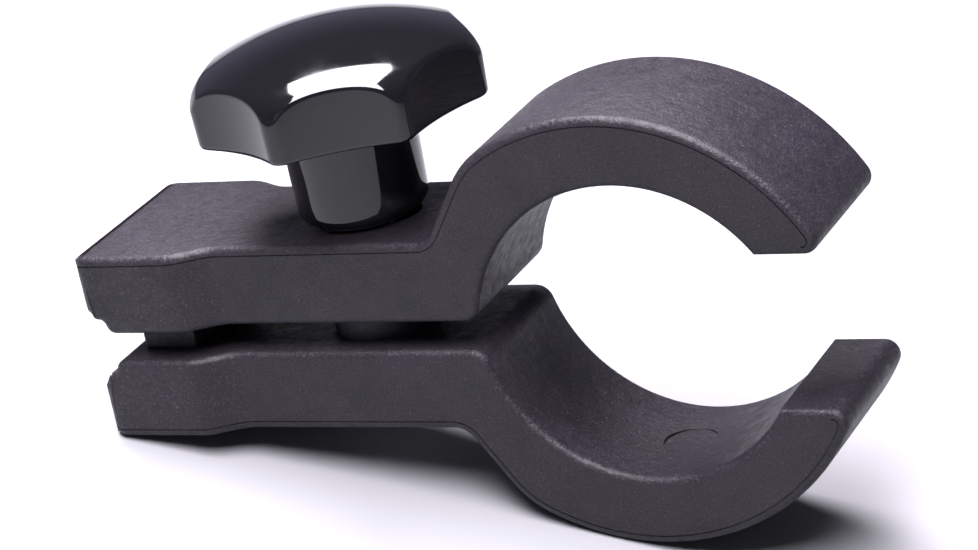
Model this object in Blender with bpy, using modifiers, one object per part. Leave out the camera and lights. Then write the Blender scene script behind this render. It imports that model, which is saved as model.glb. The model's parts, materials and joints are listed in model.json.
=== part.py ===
"""Tube clamp: two moulded jaws drawn together on one bolt by a lobed hand knob.

Every piece is modelled in the clamp's own frame and hangs on one parent empty.
In that frame +X runs from the tail to the mouth and +Z along the bolt, and the
origin is where the bolt's axis crosses the plane midway between the jaws.
The empty tips the clamp until it stands on its lower arm and lower tail, with
the bottom centre of its bounding box at the world's origin.

The sizes below are in millimetres.
"""
import math

import bmesh
import bpy
from mathutils import Euler, Vector

MM = 0.001
TOUCH_GAP = 0.3
OVERSHOOT = 1.0
WELD_DISTANCE = 0.00001

# Tube seat and arms
TUBE_DIAMETER = 48.3
SEAT_X = 44.9
SEAT_DROP = 1.8
ARM_OUTER_RADIUS = 35.4
ARM_OUTER_X = 43.6
ARM_OUTER_DROP = 2.6
JAW_WIDTH = 25.0
THROAT_RADIUS = 2.8
TIP_HEIGHT = 11.6
TIP_RADIUS = 2.2
RAMP_FOOT_X = 15.4
RAMP_ANGLE = math.radians(57.0)
RAMP_FOOT_RADIUS = 3.5
RAMP_CREST_RADIUS = 14.0
RIM_ROUNDING = 1.2

# Body and tail
JAW_GAP = 4.4
BODY_THICKNESS = 12.5
TAIL_WIDTH = 31.0
TAIL_X = -43.0
TAIL_CORNER_RADIUS = 2.6
TAIL_TOP_RADIUS = 1.5
TAIL_BEVEL_HEIGHT = 7.8
TAIL_BEVEL_RADIUS = 2.0
TAIL_LEDGE_HEIGHT = 4.5
TAIL_LEDGE_START_X = -41.4
TAIL_LEDGE_END_X = -40.0
TAIL_STEP_X = -39.2
WAIST_START_X = -27.3
WAIST_END_X = -19.3

# Fulcrum at the tail
HINGE_X = -32.4
HINGE_Z = JAW_GAP / 2 - TOUCH_GAP
FULCRUM_LENGTH = 9.0
FULCRUM_WIDTH = 20.0
FULCRUM_LOW_TOP_Z = 0.2
RIB_RADIUS = 2.5
RIB_SIDE_CLEARANCE = 0.4
ROOT_DEPTH = 1.0

# Bolt, washer, insert and spring
BOLT_DIAMETER = 8.0
BOLT_PITCH = 1.25
BOLT_END_Z = 38.2
BOLT_CHAMFER = 1.0
BOLT_END_ROOM = 1.2
BOLT_SIDE_ROOM = 0.6
HEAD_ACROSS_FLATS = 13.0
HEAD_THICKNESS = 5.3
HEAD_RECESS = 0.5
BOLT_HOLE_DIAMETER = 8.8
BOSS_DIAMETER = 16.4
SPRING_DIAMETER = 12.0
SPRING_WIRE = 1.4
SPRING_TURNS = 5
SPRING_SIDE_CLEARANCE = 0.4
LOWER_POCKET_DEPTH = 3.0
UPPER_POCKET_DEPTH = 6.5
WASHER_DIAMETER = 16.0
WASHER_HOLE_DIAMETER = 8.6
WASHER_THICKNESS = 1.6
INSERT_DIAMETER = 12.0
INSERT_BORE_DIAMETER = 8.6
INSERT_LENGTH = 17.0
INSERT_RECESS = 0.1
INSERT_GROOVE_DEPTH = 0.8
INSERT_GROOVE_FLOOR = 1.6
INSERT_GROOVE_TOP = 2.4

# Knob
KNOB_LOBES = 7
KNOB_FIRST_LOBE = math.radians(-38.5)
LOBE_RADIUS = 22.0
LOBE_NOSE_RADIUS = 2.4
VALLEY_RADIUS = 19.1
HEAD_BOTTOM_Z = 30.6
DOME_RADIUS = 22.3
DOME_RIM_Z = 35.3
DOME_RIM_ROUNDING = 5.6
DOME_CAP_SLOPE = math.radians(24.0)
DOME_SEAM_TURN = math.radians(1.3)
HUB_BOTTOM_RADIUS = 9.8
HUB_TOP_RADIUS = 10.1
HUB_RIM_ROUNDING = 2.2

# Motion: the knob climbs the bolt and the jaw swings open below it.
# The contact arm is the knob's climb over the jaw's angle, set so that the arm's
# crest stays clear of the knob's head.
KNOB_TURNS = 12.5
CONTACT_ARM = 60.4

SEAT_RADIUS = TUBE_DIAMETER / 2
INNER_Z = JAW_GAP / 2
OUTER_Z = INNER_Z + BODY_THICKNESS
BOLT_RADIUS = BOLT_DIAMETER / 2
HEAD_TOP_Z = -OUTER_Z + HEAD_RECESS + HEAD_THICKNESS
OPEN_ANGLE = KNOB_TURNS * BOLT_PITCH / CONTACT_ARM
WASHER_BOTTOM_Z = OUTER_Z + TOUCH_GAP
HUB_BOTTOM_Z = WASHER_BOTTOM_Z + TOUCH_GAP
WASHER_TOP_Z = WASHER_BOTTOM_Z + WASHER_THICKNESS
INSERT_BOTTOM_Z = WASHER_TOP_Z + TOUCH_GAP + INSERT_RECESS
INSERT_TOP_Z = INSERT_BOTTOM_Z + INSERT_LENGTH
SPRING_POCKET_RADIUS = SPRING_DIAMETER / 2 + SPRING_SIDE_CLEARANCE
SPRING_BOTTOM_Z = -INNER_Z - LOWER_POCKET_DEPTH + TOUCH_GAP
SPRING_TOP_Z = INNER_Z + UPPER_POCKET_DEPTH - TOUCH_GAP


def remove_old_objects():
    for old in list(bpy.data.objects):
        bpy.data.objects.remove(old, do_unlink=True)


def new_collection(name):
    collection = bpy.data.collections.new(name)
    bpy.context.scene.collection.children.link(collection)
    return collection


def new_material(name, colour, roughness, metallic):
    material = bpy.data.materials.new(name)
    material.use_nodes = True
    shader = material.node_tree.nodes["Principled BSDF"]
    shader.inputs["Base Color"].default_value = (*colour, 1.0)
    shader.inputs["Roughness"].default_value = roughness
    shader.inputs["Metallic"].default_value = metallic
    return material


# ---------------------------------------------------------------- outlines

def arc_points(centre, radius, start, end, steps):
    """Points on an arc, from the start angle to the end angle."""
    points = []
    for step in range(steps + 1):
        angle = start + (end - start) * step / steps
        points.append(Vector((centre[0] + radius * math.cos(angle),
                              centre[1] + radius * math.sin(angle))))
    return points


def arc_between(centre, start_point, end_point, steps):
    """Points on the shorter arc about centre, from one of its points to another."""
    first = Vector(start_point) - Vector(centre)
    last = Vector(end_point) - Vector(centre)
    start = math.atan2(first.y, first.x)
    sweep = (math.atan2(last.y, last.x) - start + math.pi) % (2 * math.pi) - math.pi
    return arc_points(centre, first.length, start, start + sweep, steps)


def rounded_corner(before, corner, after, radius, steps=4):
    """The arc of this radius that rounds the corner between two straight sides."""
    corner = Vector(corner)
    back = (Vector(before) - corner).normalized()
    ahead = (Vector(after) - corner).normalized()
    half_angle = back.angle(ahead) / 2
    centre = corner + (back + ahead).normalized() * radius / math.sin(half_angle)
    reach = radius / math.tan(half_angle)
    return arc_between(centre, corner + back * reach, corner + ahead * reach, steps)


def blend_circle(point, direction, normal, radius, centre, centre_distance, far_root):
    """Centre of the blend that touches a line and keeps a distance from a circle's centre."""
    direction = Vector(direction).normalized()
    start = Vector(point) + Vector(normal).normalized() * radius - Vector(centre)
    middle = -start.dot(direction)
    spread = math.sqrt(middle ** 2 - start.length_squared + centre_distance ** 2)
    along = middle + spread if far_root else middle - spread
    return start + direction * along + Vector(centre)


def on_circle(centre, radius, towards):
    """The point of a circle that lies in line with another point."""
    return Vector(centre) + (Vector(towards) - Vector(centre)).normalized() * radius


def jaw_profile():
    """Side outline of the upper jaw, x and z, with the material above the inner face."""
    seat = Vector((SEAT_X, -SEAT_DROP))
    outer = Vector((ARM_OUTER_X, -ARM_OUTER_DROP))

    throat = blend_circle((0, INNER_Z), (1, 0), (0, 1), THROAT_RADIUS,
                          seat, SEAT_RADIUS + THROAT_RADIUS, False)
    throat_start = Vector((throat.x, INNER_Z))
    throat_end = on_circle(seat, SEAT_RADIUS, throat)
    landing_rise = TIP_HEIGHT + SEAT_DROP
    landing_start = Vector((SEAT_X + math.sqrt(SEAT_RADIUS ** 2 - landing_rise ** 2), TIP_HEIGHT))

    tip = blend_circle((SEAT_X, TIP_HEIGHT), (1, 0), (0, 1), TIP_RADIUS,
                       outer, ARM_OUTER_RADIUS - TIP_RADIUS, True)
    tip_start = Vector((tip.x, TIP_HEIGHT))
    tip_end = on_circle(outer, ARM_OUTER_RADIUS, outer + (tip - outer) * 2)

    foot = Vector((RAMP_FOOT_X, OUTER_Z))
    up_ramp = Vector((math.cos(RAMP_ANGLE), math.sin(RAMP_ANGLE)))
    into_ramp = Vector((up_ramp.y, -up_ramp.x))
    crest = blend_circle(foot, up_ramp, into_ramp, RAMP_CREST_RADIUS,
                         outer, ARM_OUTER_RADIUS - RAMP_CREST_RADIUS, True)
    crest_start = outer + (crest - outer).normalized() * ARM_OUTER_RADIUS
    crest_end = crest - into_ramp * RAMP_CREST_RADIUS

    step_corner = Vector((TAIL_STEP_X, INNER_Z))
    ledge_end = Vector((TAIL_LEDGE_END_X, TAIL_LEDGE_HEIGHT))
    ledge_start = Vector((TAIL_LEDGE_START_X, TAIL_LEDGE_HEIGHT))
    tail_bevel = Vector((TAIL_X, TAIL_BEVEL_HEIGHT))
    tail_top = Vector((TAIL_X, OUTER_Z))

    outline = [step_corner]
    outline += arc_between(throat, throat_start, throat_end, 4)
    outline += arc_between(seat, throat_end, landing_start, 30)[1:]
    outline += arc_between(tip, tip_start, tip_end, 5)
    outline += arc_between(outer, tip_end, crest_start, 32)[1:-1]
    outline += arc_between(crest, crest_start, crest_end, 4)
    outline += rounded_corner(crest_end, foot, tail_top, RAMP_FOOT_RADIUS)
    outline += rounded_corner(foot, tail_top, tail_bevel, TAIL_TOP_RADIUS)
    outline += rounded_corner(tail_top, tail_bevel, ledge_start, TAIL_BEVEL_RADIUS)
    outline += [ledge_start, ledge_end]
    return outline


def jaw_plan():
    """Plan outline shared by both jaws, x and y: wide tail, S-shaped waist, narrow arm."""
    half_tail = TAIL_WIDTH / 2
    half_jaw = JAW_WIDTH / 2
    waist_steps = 8
    waist = []
    for step in range(waist_steps + 1):
        share = step / waist_steps
        ease = (1 - math.cos(math.pi * share)) / 2
        waist.append(Vector((WAIST_START_X + (WAIST_END_X - WAIST_START_X) * share,
                             half_tail + (half_jaw - half_tail) * ease)))
    mouth_x = ARM_OUTER_X + ARM_OUTER_RADIUS + OVERSHOOT
    corner = Vector((TAIL_X, half_tail))
    upper_side = rounded_corner((TAIL_X, 0), corner, waist[0], TAIL_CORNER_RADIUS)
    upper_side += waist + [Vector((mouth_x, half_jaw))]
    lower_side = [Vector((point.x, -point.y)) for point in reversed(upper_side)]
    return upper_side + lower_side


def knob_radius(angle):
    """Radius of the knob's star outline: round-nosed lobes joined by shallow hollow arcs."""
    half_pitch = math.pi / KNOB_LOBES
    nose_x = LOBE_RADIUS - LOBE_NOSE_RADIUS
    across = nose_x * math.cos(half_pitch)
    spread = (LOBE_NOSE_RADIUS ** 2 - nose_x ** 2 - VALLEY_RADIUS ** 2
              + 2 * across * VALLEY_RADIUS)
    hollow_radius = spread / (2 * (VALLEY_RADIUS - across - LOBE_NOSE_RADIUS))
    hollow_x = VALLEY_RADIUS + hollow_radius
    seam_x = nose_x * hollow_radius + hollow_x * math.cos(half_pitch) * LOBE_NOSE_RADIUS
    seam_y = hollow_x * math.sin(half_pitch) * LOBE_NOSE_RADIUS

    from_lobe = abs((angle - KNOB_FIRST_LOBE + half_pitch) % (2 * half_pitch) - half_pitch)
    if from_lobe < math.atan2(seam_y, seam_x):
        offset = nose_x * math.sin(from_lobe)
        return nose_x * math.cos(from_lobe) + math.sqrt(LOBE_NOSE_RADIUS ** 2 - offset ** 2)
    from_hollow = half_pitch - from_lobe
    offset = hollow_x * math.sin(from_hollow)
    return hollow_x * math.cos(from_hollow) - math.sqrt(hollow_radius ** 2 - offset ** 2)


# ---------------------------------------------------------------- shapes

def add_object(name, mesh, collection):
    thing = bpy.data.objects.new(name, mesh)
    collection.objects.link(thing)
    return thing


def mesh_from_curve(curve_object, collection):
    """Turn a curve object into a welded mesh object in its place."""
    bpy.context.view_layer.update()
    depsgraph = bpy.context.evaluated_depsgraph_get()
    mesh = bpy.data.meshes.new_from_object(curve_object.evaluated_get(depsgraph))
    shape = bmesh.new()
    shape.from_mesh(mesh)
    bmesh.ops.remove_doubles(shape, verts=shape.verts, dist=WELD_DISTANCE)
    bmesh.ops.recalc_face_normals(shape, faces=shape.faces)
    shape.to_mesh(mesh)
    shape.free()
    name = curve_object.name
    matrix = curve_object.matrix_world.copy()
    bpy.data.objects.remove(curve_object, do_unlink=True)
    thing = add_object(name, mesh, collection)
    thing.matrix_world = matrix
    return thing


def prism(name, outline, thickness, collection, upright=False):
    """A flat outline with a thickness, in the XY plane or upright in the XZ plane."""
    curve = bpy.data.curves.new(name, "CURVE")
    curve.dimensions = "2D"
    curve.fill_mode = "BOTH"
    curve.extrude = thickness * MM / 2
    spline = curve.splines.new("POLY")
    spline.points.add(len(outline) - 1)
    for point, place in zip(spline.points, outline):
        point.co = (place[0] * MM, place[1] * MM, 0, 1)
    spline.use_cyclic_u = True
    thing = bpy.data.objects.new(name, curve)
    collection.objects.link(thing)
    if upright:
        thing.rotation_euler = Euler((math.pi / 2, 0, 0))
    return mesh_from_curve(thing, collection)


def cylinder(name, radius, low, high, collection, sides=48):
    """An upright cylinder, or a prism with few sides, between two heights."""
    shape = bmesh.new()
    bmesh.ops.create_cone(shape, cap_ends=True, segments=sides, radius1=radius * MM,
                          radius2=radius * MM, depth=(high - low) * MM)
    mesh = bpy.data.meshes.new(name)
    shape.to_mesh(mesh)
    shape.free()
    thing = add_object(name, mesh, collection)
    thing.location = Vector((0, 0, (low + high) / 2)) * MM
    return thing


def turned(name, profile, collection, steps=48):
    """A closed profile of radius and height, top to bottom, turned about Z."""
    mesh = bpy.data.meshes.new(name)
    vertices = [(radius * MM, 0, height * MM) for radius, height in profile]
    edges = [(index, index + 1) for index in range(len(profile) - 1)]
    if profile[0][0] > 0:
        edges.append((len(profile) - 1, 0))
    mesh.from_pydata(vertices, edges, [])
    thing = add_object(name, mesh, collection)
    screw = thing.modifiers.new("turn", "SCREW")
    screw.axis = "Z"
    screw.steps = steps
    screw.render_steps = steps
    screw.use_merge_vertices = True
    screw.merge_threshold = WELD_DISTANCE
    return thing


def oblong_hole(name, radius, run, low, high, collection):
    """Cutter for a slot that runs along X from the bolt's axis."""
    outline = arc_points((0, 0), radius, math.pi / 2, 3 * math.pi / 2, 16)
    outline += arc_points((run, 0), radius, -math.pi / 2, math.pi / 2, 16)
    slot = prism(name, outline, high - low, collection)
    slot.location = Vector((0, 0, (low + high) / 2)) * MM
    return slot


def cut(target, cutter, operation="DIFFERENCE"):
    boolean = target.modifiers.new(cutter.name, "BOOLEAN")
    boolean.operation = operation
    boolean.solver = "EXACT"
    boolean.object = cutter
    cutter.hide_render = True
    cutter.display_type = "WIRE"


def finish(thing, material, root):
    """Give a piece its material and smooth shading, and hang it on the clamp's empty."""
    thing.data.materials.append(material)
    thing.data.shade_smooth()
    thing.parent = root


# ---------------------------------------------------------------- jaws

def jaw_blank(name, side, parts, cutters):
    """Jaw without its holes: side 1 is the upper jaw, and -1 is the lower one upside down."""
    profile = [Vector((point.x, side * point.y)) for point in jaw_profile()]
    if side < 0:
        profile.reverse()
    jaw = prism(name, profile, TAIL_WIDTH + 2 * OVERSHOOT, parts, upright=True)
    plan = prism(name + "_plan", jaw_plan(), 3 * ARM_OUTER_RADIUS, cutters)
    cut(jaw, plan, "INTERSECT")
    rounding = jaw.modifiers.new("rim_rounding", "BEVEL")
    rounding.width = RIM_ROUNDING * MM
    rounding.segments = 2
    rounding.limit_method = "ANGLE"
    rounding.angle_limit = math.radians(60)
    rounding.use_clamp_overlap = False
    return jaw


def fulcrum_profile():
    """Side outline of the pad and its half-round rib, rooted in the lower jaw."""
    pad_start = HINGE_X - FULCRUM_LENGTH / 2
    pad_end = HINGE_X + FULCRUM_LENGTH / 2
    root_z = -INNER_Z - ROOT_DEPTH
    outline = [Vector((pad_start, root_z)), Vector((pad_end, root_z)), Vector((pad_end, HINGE_Z))]
    outline += arc_points((HINGE_X, HINGE_Z), RIB_RADIUS, 0, math.pi, 12)
    outline += [Vector((HINGE_X - RIB_RADIUS, FULCRUM_LOW_TOP_Z)),
                Vector((pad_start, FULCRUM_LOW_TOP_Z))]
    return outline


def make_lower_jaw(parts, cutters):
    """Carries the fulcrum pad and rib, the boss round the bolt and the bolt's head."""
    jaw = jaw_blank("lower_jaw", -1, parts, cutters)
    fulcrum = prism("fulcrum", fulcrum_profile(), FULCRUM_WIDTH, cutters, upright=True)
    boss = cylinder("spring_boss", BOSS_DIAMETER / 2, -INNER_Z - ROOT_DEPTH,
                    INNER_Z - TOUCH_GAP, cutters)
    for solid in (fulcrum, boss):
        cut(jaw, solid, "UNION")

    below = -OUTER_Z - OVERSHOOT
    spring_pocket = cylinder("lower_spring_pocket", SPRING_POCKET_RADIUS,
                             -INNER_Z - LOWER_POCKET_DEPTH, INNER_Z + OVERSHOOT, cutters)
    bolt_hole = cylinder("lower_bolt_hole", BOLT_HOLE_DIAMETER / 2, below, 0.0, cutters)
    head_room = (HEAD_ACROSS_FLATS / 2 + TOUCH_GAP) / math.cos(math.pi / 6)
    head_pocket = cylinder("head_pocket", head_room, below, HEAD_TOP_Z + TOUCH_GAP, cutters, sides=6)
    for hole in (spring_pocket, bolt_hole, head_pocket):
        cut(jaw, hole)
    return jaw


def make_upper_jaw(parts, cutters):
    """Swings on the fulcrum rib, so its bolt slot and spring pocket are oblong."""
    jaw = jaw_blank("upper_jaw", 1, parts, cutters)
    swing_back = abs(HINGE_X) * (1 - math.cos(OPEN_ANGLE))
    slot_run = (OUTER_Z - HINGE_Z) * math.sin(OPEN_ANGLE) + swing_back
    ceiling = INNER_Z + UPPER_POCKET_DEPTH
    pocket_run = (ceiling - HINGE_Z) * math.sin(OPEN_ANGLE) + swing_back
    slot = oblong_hole("upper_bolt_slot", BOLT_HOLE_DIAMETER / 2, slot_run,
                       0.0, OUTER_Z + OVERSHOOT, cutters)
    pocket = oblong_hole("upper_spring_pocket", SPRING_POCKET_RADIUS, pocket_run,
                         0.0, ceiling, cutters)
    half_socket = FULCRUM_WIDTH / 2 + RIB_SIDE_CLEARANCE
    socket = cylinder("fulcrum_socket", RIB_RADIUS + TOUCH_GAP, -half_socket, half_socket,
                      cutters, sides=32)
    socket.rotation_euler = Euler((math.pi / 2, 0, 0))
    socket.location = Vector((HINGE_X, 0, HINGE_Z)) * MM
    for hole in (slot, pocket, socket):
        cut(jaw, hole)
    return jaw


# ---------------------------------------------------------------- hardware

def make_bolt(parts, cutters):
    root_z = HEAD_TOP_Z - ROOT_DEPTH
    bolt = turned("clamp_bolt", [(0, BOLT_END_Z), (BOLT_RADIUS - BOLT_CHAMFER, BOLT_END_Z),
                                 (BOLT_RADIUS, BOLT_END_Z - BOLT_CHAMFER), (BOLT_RADIUS, root_z),
                                 (0, root_z)], parts, steps=32)
    head = cylinder("bolt_head", HEAD_ACROSS_FLATS / 2 / math.cos(math.pi / 6),
                    HEAD_TOP_Z - HEAD_THICKNESS, HEAD_TOP_Z, cutters, sides=6)
    cut(bolt, head, "UNION")
    return bolt


def make_washer(parts):
    inner = WASHER_HOLE_DIAMETER / 2
    outer = WASHER_DIAMETER / 2
    return turned("thrust_washer", [(outer, WASHER_TOP_Z), (outer, WASHER_BOTTOM_Z),
                                    (inner, WASHER_BOTTOM_Z), (inner, WASHER_TOP_Z)], parts)


def make_spring(parts):
    """Round-wire compression spring; its ends lie just clear of the two pockets' floors."""
    coil_radius = (SPRING_DIAMETER - SPRING_WIRE) / 2
    first = SPRING_BOTTOM_Z + SPRING_WIRE / 2
    last = SPRING_TOP_Z - SPRING_WIRE / 2
    points_per_turn = 20
    count = SPRING_TURNS * points_per_turn + 1
    curve = bpy.data.curves.new("return_spring", "CURVE")
    curve.dimensions = "3D"
    curve.bevel_depth = SPRING_WIRE * MM / 2
    curve.bevel_resolution = 2
    curve.use_fill_caps = True
    spline = curve.splines.new("POLY")
    spline.points.add(count - 1)
    for index, point in enumerate(spline.points):
        angle = 2 * math.pi * index / points_per_turn
        height = first + (last - first) * index / (count - 1)
        point.co = (coil_radius * math.cos(angle) * MM, coil_radius * math.sin(angle) * MM,
                    height * MM, 1)
    spring = bpy.data.objects.new("return_spring", curve)
    parts.objects.link(spring)
    return mesh_from_curve(spring, parts)


# ---------------------------------------------------------------- knob

def dome_profile():
    """Radius and height of the head's turned dome: a shallow cap with a well rounded rim."""
    rim_x = DOME_RADIUS - DOME_RIM_ROUNDING
    rim_start = math.pi / 2 - DOME_CAP_SLOPE
    rim = arc_points((rim_x, DOME_RIM_Z), DOME_RIM_ROUNDING, rim_start, 0, 6)
    cap_radius = rim[0].x / math.sin(DOME_CAP_SLOPE)
    cap_centre = (0, rim[0].y - cap_radius * math.cos(DOME_CAP_SLOPE))
    cap = arc_points(cap_centre, cap_radius, math.pi / 2, rim_start, 5)
    profile = [(0, cap[0].y)]
    profile += [(point.x, point.y) for point in cap[1:-1] + rim]
    profile += [(DOME_RADIUS, HEAD_BOTTOM_Z), (0, HEAD_BOTTOM_Z)]
    return profile


def hub_profile():
    """Radius and height of the turned hub, from inside the head down to its rounded rim."""
    root_z = HEAD_BOTTOM_Z + ROOT_DEPTH
    profile = [(0, root_z), (HUB_TOP_RADIUS, root_z)]
    rim_centre = (HUB_BOTTOM_RADIUS - HUB_RIM_ROUNDING, HUB_BOTTOM_Z + HUB_RIM_ROUNDING)
    for point in arc_points(rim_centre, HUB_RIM_ROUNDING, 0, -math.pi / 2, 3):
        profile.append((point.x, point.y))
    profile.append((0, HUB_BOTTOM_Z))
    return profile


def make_knob(parts, cutters):
    steps = 18 * KNOB_LOBES
    star = []
    for step in range(steps):
        angle = KNOB_FIRST_LOBE + 2 * math.pi * step / steps
        radius = knob_radius(angle)
        star.append((radius * math.cos(angle), radius * math.sin(angle)))
    dome_outline = dome_profile()
    dome_top = dome_outline[0][1]
    knob = prism("knob_body", star, dome_top - HEAD_BOTTOM_Z + 2 * OVERSHOOT, parts)
    knob.location = Vector((0, 0, (dome_top + HEAD_BOTTOM_Z) / 2)) * MM
    dome = turned("knob_dome", dome_outline, cutters)
    dome.rotation_euler = Euler((0, 0, DOME_SEAM_TURN))
    cut(knob, dome, "INTERSECT")
    cut(knob, turned("knob_hub", hub_profile(), cutters), "UNION")

    below = HUB_BOTTOM_Z - OVERSHOOT
    cavities = (
        cylinder("washer_counterbore", WASHER_DIAMETER / 2 + TOUCH_GAP, below,
                 WASHER_TOP_Z + TOUCH_GAP, cutters),
        cylinder("insert_seat", INSERT_DIAMETER / 2 + TOUCH_GAP, below,
                 INSERT_TOP_Z + TOUCH_GAP, cutters, sides=36),
        cylinder("bolt_end_room", BOLT_RADIUS + BOLT_SIDE_ROOM, below,
                 BOLT_END_Z + BOLT_END_ROOM, cutters, sides=36),
    )
    for cavity in cavities:
        cut(knob, cavity)
    return knob


def make_insert(parts):
    """Threaded sleeve, held in the knob by a groove round its middle."""
    inner = INSERT_BORE_DIAMETER / 2
    outer = INSERT_DIAMETER / 2
    middle = (INSERT_TOP_Z + INSERT_BOTTOM_Z) / 2
    groove = outer - INSERT_GROOVE_DEPTH
    half_top = INSERT_GROOVE_TOP / 2
    half_floor = INSERT_GROOVE_FLOOR / 2
    return turned("knob_insert", [(outer, INSERT_TOP_Z), (outer, middle + half_top),
                                  (groove, middle + half_floor), (groove, middle - half_floor),
                                  (outer, middle - half_top), (outer, INSERT_BOTTOM_Z),
                                  (inner, INSERT_BOTTOM_Z), (inner, INSERT_TOP_Z)],
                  parts, steps=36)


# ---------------------------------------------------------------- placing

def standing_tilt():
    """Angle that brings the lower arm and the lower tail's end onto one floor."""
    run = ARM_OUTER_X - (TAIL_X + TAIL_TOP_RADIUS)
    rise = ARM_OUTER_DROP + OUTER_Z - TAIL_TOP_RADIUS
    reach = math.hypot(run, rise)
    return math.asin((ARM_OUTER_RADIUS - TAIL_TOP_RADIUS) / reach) - math.atan2(rise, run)


def stand_on_floor(root, parts):
    """Tip the clamp onto the floor, and bring its box's bottom centre to the origin."""
    root.rotation_euler = Euler((0, -standing_tilt(), 0))
    bpy.context.view_layer.update()
    depsgraph = bpy.context.evaluated_depsgraph_get()
    corners = []
    for part in parts.objects:
        placed = part.evaluated_get(depsgraph)
        mesh = placed.to_mesh()
        corners += [placed.matrix_world @ vertex.co for vertex in mesh.vertices]
        placed.to_mesh_clear()
    low = [min(corner[axis] for corner in corners) for axis in range(3)]
    high = [max(corner[axis] for corner in corners) for axis in range(3)]
    root.location = (-(low[0] + high[0]) / 2, -(low[1] + high[1]) / 2, -low[2])


def main():
    remove_old_objects()
    parts = new_collection("tube_clamp")
    cutters = new_collection("cutters")
    root = bpy.data.objects.new("clamp_frame", None)
    cutters.objects.link(root)

    nylon = new_material("black_nylon", (0.045, 0.043, 0.052), 0.6, 0.0)
    phenolic = new_material("black_phenolic", (0.006, 0.006, 0.008), 0.08, 0.0)
    zinc = new_material("zinc_steel", (0.55, 0.55, 0.56), 0.32, 1.0)
    brass = new_material("brass", (0.72, 0.52, 0.22), 0.3, 1.0)
    spring_steel = new_material("spring_steel", (0.30, 0.30, 0.31), 0.38, 1.0)

    finish(make_lower_jaw(parts, cutters), nylon, root)
    finish(make_upper_jaw(parts, cutters), nylon, root)
    finish(make_bolt(parts, cutters), zinc, root)
    finish(make_spring(parts), spring_steel, root)
    finish(make_washer(parts), zinc, root)
    finish(make_insert(parts), brass, root)
    finish(make_knob(parts, cutters), phenolic, root)
    for cutter in cutters.objects:
        if cutter is not root and cutter.parent is None:
            cutter.parent = root
    stand_on_floor(root, parts)


main()
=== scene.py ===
"""Looks of the tube clamp: fine mouldings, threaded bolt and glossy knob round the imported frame.

Shapes are worked out in the clamp's own frame, in millimetres: +X from the tail to
the mouth, +Z along the bolt, origin on the bolt's axis midway between the jaws.
place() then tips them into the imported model's frame.
"""
import json
import math

import bmesh
import bpy
from mathutils import Matrix, Vector


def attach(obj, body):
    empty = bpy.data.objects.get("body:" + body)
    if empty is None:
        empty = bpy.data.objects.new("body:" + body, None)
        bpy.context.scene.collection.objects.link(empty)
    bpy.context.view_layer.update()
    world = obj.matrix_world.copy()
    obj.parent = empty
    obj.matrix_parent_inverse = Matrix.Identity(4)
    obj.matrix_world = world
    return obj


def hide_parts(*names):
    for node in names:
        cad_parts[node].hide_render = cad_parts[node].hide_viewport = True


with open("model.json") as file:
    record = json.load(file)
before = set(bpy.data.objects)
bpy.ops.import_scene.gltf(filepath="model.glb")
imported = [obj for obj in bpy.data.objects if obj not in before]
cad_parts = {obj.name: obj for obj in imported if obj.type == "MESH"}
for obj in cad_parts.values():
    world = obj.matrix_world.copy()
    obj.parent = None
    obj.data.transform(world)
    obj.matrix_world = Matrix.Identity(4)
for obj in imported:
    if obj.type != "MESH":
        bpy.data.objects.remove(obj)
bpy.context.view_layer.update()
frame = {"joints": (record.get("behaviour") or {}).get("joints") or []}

MM = 0.001

# Jaws, as the frame has them
TUBE_DIAMETER = 48.3
SEAT_X = 44.9
SEAT_DROP = 1.8
ARM_OUTER_RADIUS = 35.4
ARM_OUTER_X = 43.6
ARM_OUTER_DROP = 2.6
JAW_WIDTH = 25.0
THROAT_RADIUS = 2.8
TIP_HEIGHT = 11.6
TIP_RADIUS = 2.2
RAMP_FOOT_X = 15.4
RAMP_ANGLE = math.radians(57.0)
RAMP_FOOT_RADIUS = 3.5
RAMP_CREST_RADIUS = 14.0
RIM_ROUNDING = 1.15
JAW_GAP = 4.4
BODY_THICKNESS = 12.5
TAIL_WIDTH = 31.0
TAIL_X = -43.0
TAIL_CORNER_RADIUS = 2.6
TAIL_TOP_RADIUS = 1.5
TAIL_BEVEL_HEIGHT = 7.8
TAIL_BEVEL_RADIUS = 2.0
TAIL_LEDGE_HEIGHT = 4.5
TAIL_LEDGE_START_X = -41.4
TAIL_LEDGE_END_X = -40.0
TAIL_STEP_X = -39.2
WAIST_START_X = -27.3
WAIST_END_X = -19.3

# Marks that the moulds leave on the jaws
GROOVE_INSET = 1.2
GROOVE_WIDTH = 0.22
GROOVE_DEPTH = 0.16
EJECTOR_RADIUS = 4.0
EJECTOR_DEPTH = 0.07

# Room, reach and fineness of cuts and curves
TOUCH_GAP = 0.3
OVERSHOOT = 1.0
CUTTER_REACH = 2 * ARM_OUTER_RADIUS
SOFTENED_ANGLE = math.radians(60)
SHARP_SHADED_ANGLE = math.radians(35)
CORNER_STEPS = 8
TIP_STEPS = 10
WAIST_STEPS = 20
SEAT_STEPS = 72
ARM_STEPS = 84
ROUND_SIDES = 96
SOCKET_SIDES = 48
RIB_STEPS = 24
HOLE_STEPS = 32
HEXAGON_SIDES = 6

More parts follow.
